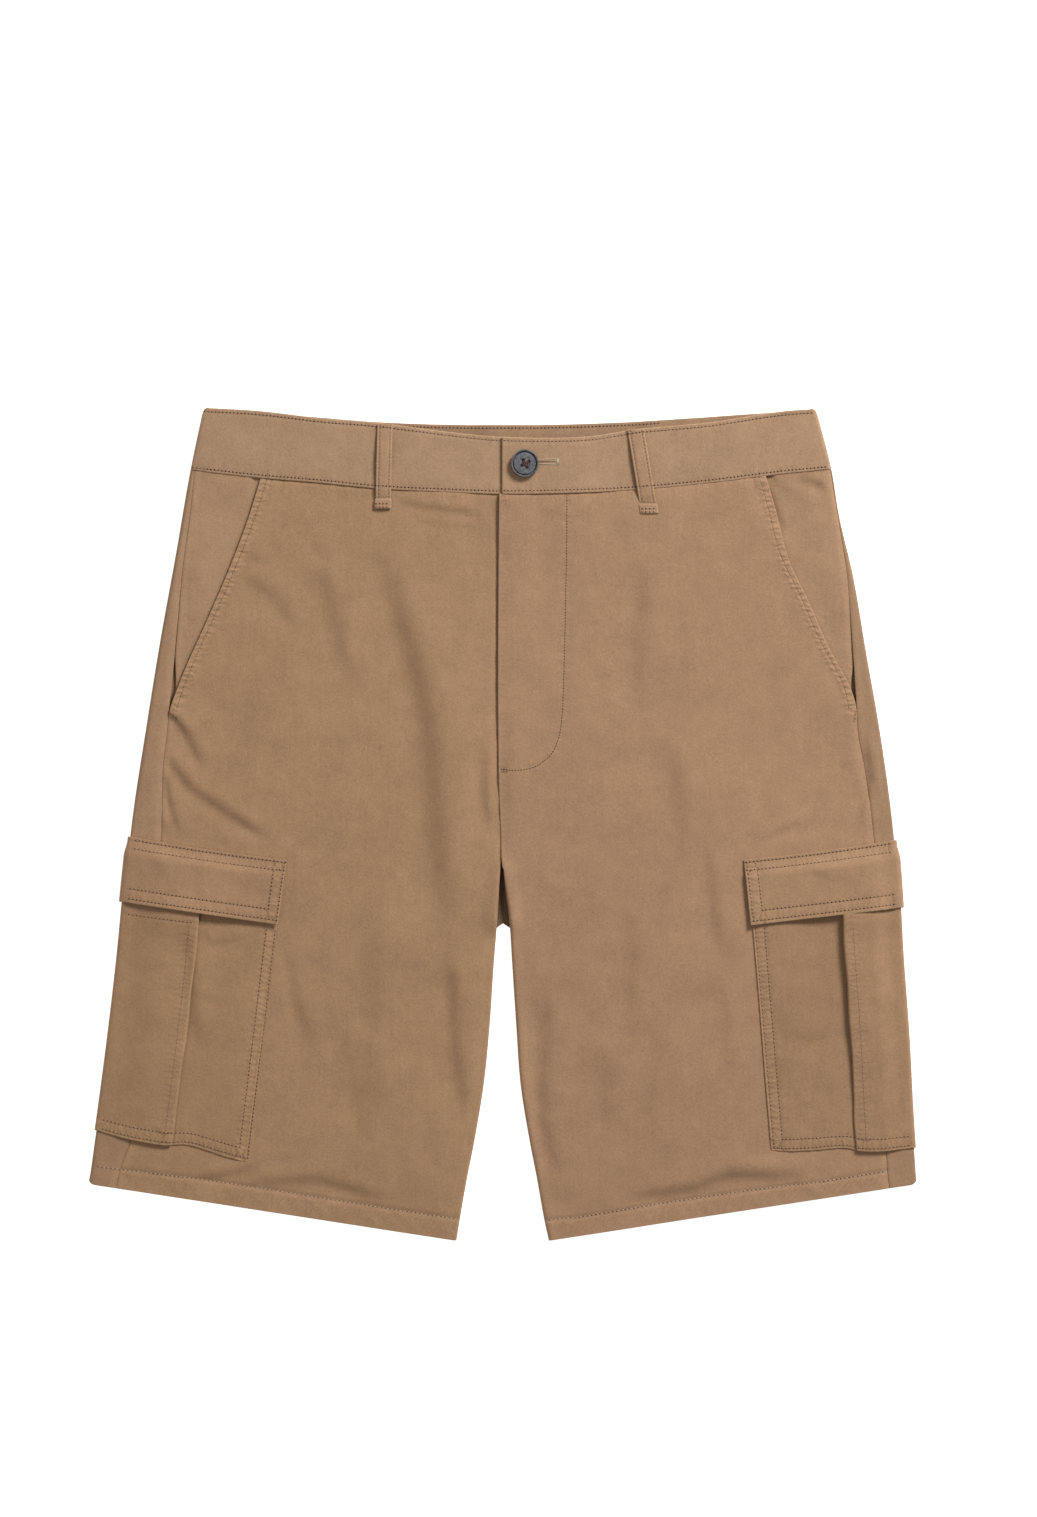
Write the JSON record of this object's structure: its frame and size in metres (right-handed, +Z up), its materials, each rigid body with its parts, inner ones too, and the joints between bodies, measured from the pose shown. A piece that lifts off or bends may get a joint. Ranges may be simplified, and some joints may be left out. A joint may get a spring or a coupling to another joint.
{
  "type": "cargo shorts",
  "caption": "Knee-length cotton twill cargo shorts laid flat, front side up, with slanted front pockets, flapped and pleated leg pockets, belt loops and a buttoned waistband.",
  "frame": {"origin": "middle of the laid-out shorts, on the surface they lie on", "axes": "+X to the wearer's left, +Y from the hems to the waistband, +Z up from the surface, out of the front side"},
  "size_m": [0.563, 0.5672, 0.0131],
  "materials": {
    "front_twill": "washed cotton twill, matt",
    "back_twill": "washed cotton twill, matt",
    "band_twill": "washed cotton twill, matt",
    "hip_twill": "washed cotton twill, matt",
    "pocket_twill": "washed cotton twill, matt",
    "flap_twill": "washed cotton twill, matt",
    "loop_twill": "washed cotton twill, matt",
    "button_horn": "satin grey, horn-like resin"
  },
  "bodies": {
    "root": {"back_panel_left": "back_twill", "back_panel_right": "back_twill", "belt_loop_back_centre": "loop_twill", "belt_loop_back_left": "loop_twill", "belt_loop_back_right": "loop_twill", "belt_loop_front_left": "loop_twill", "belt_loop_front_right": "loop_twill", "cargo_flap_left": "flap_twill", "cargo_flap_right": "flap_twill", "cargo_pocket_left": "pocket_twill", "cargo_pocket_right": "pocket_twill", "front_panel_left": "front_twill", "front_panel_right": "front_twill", "hip_piece_left": "hip_twill", "hip_piece_right": "hip_twill", "waist_button": "button_horn", "waistband": "band_twill"}
  },
  "joints": []
}
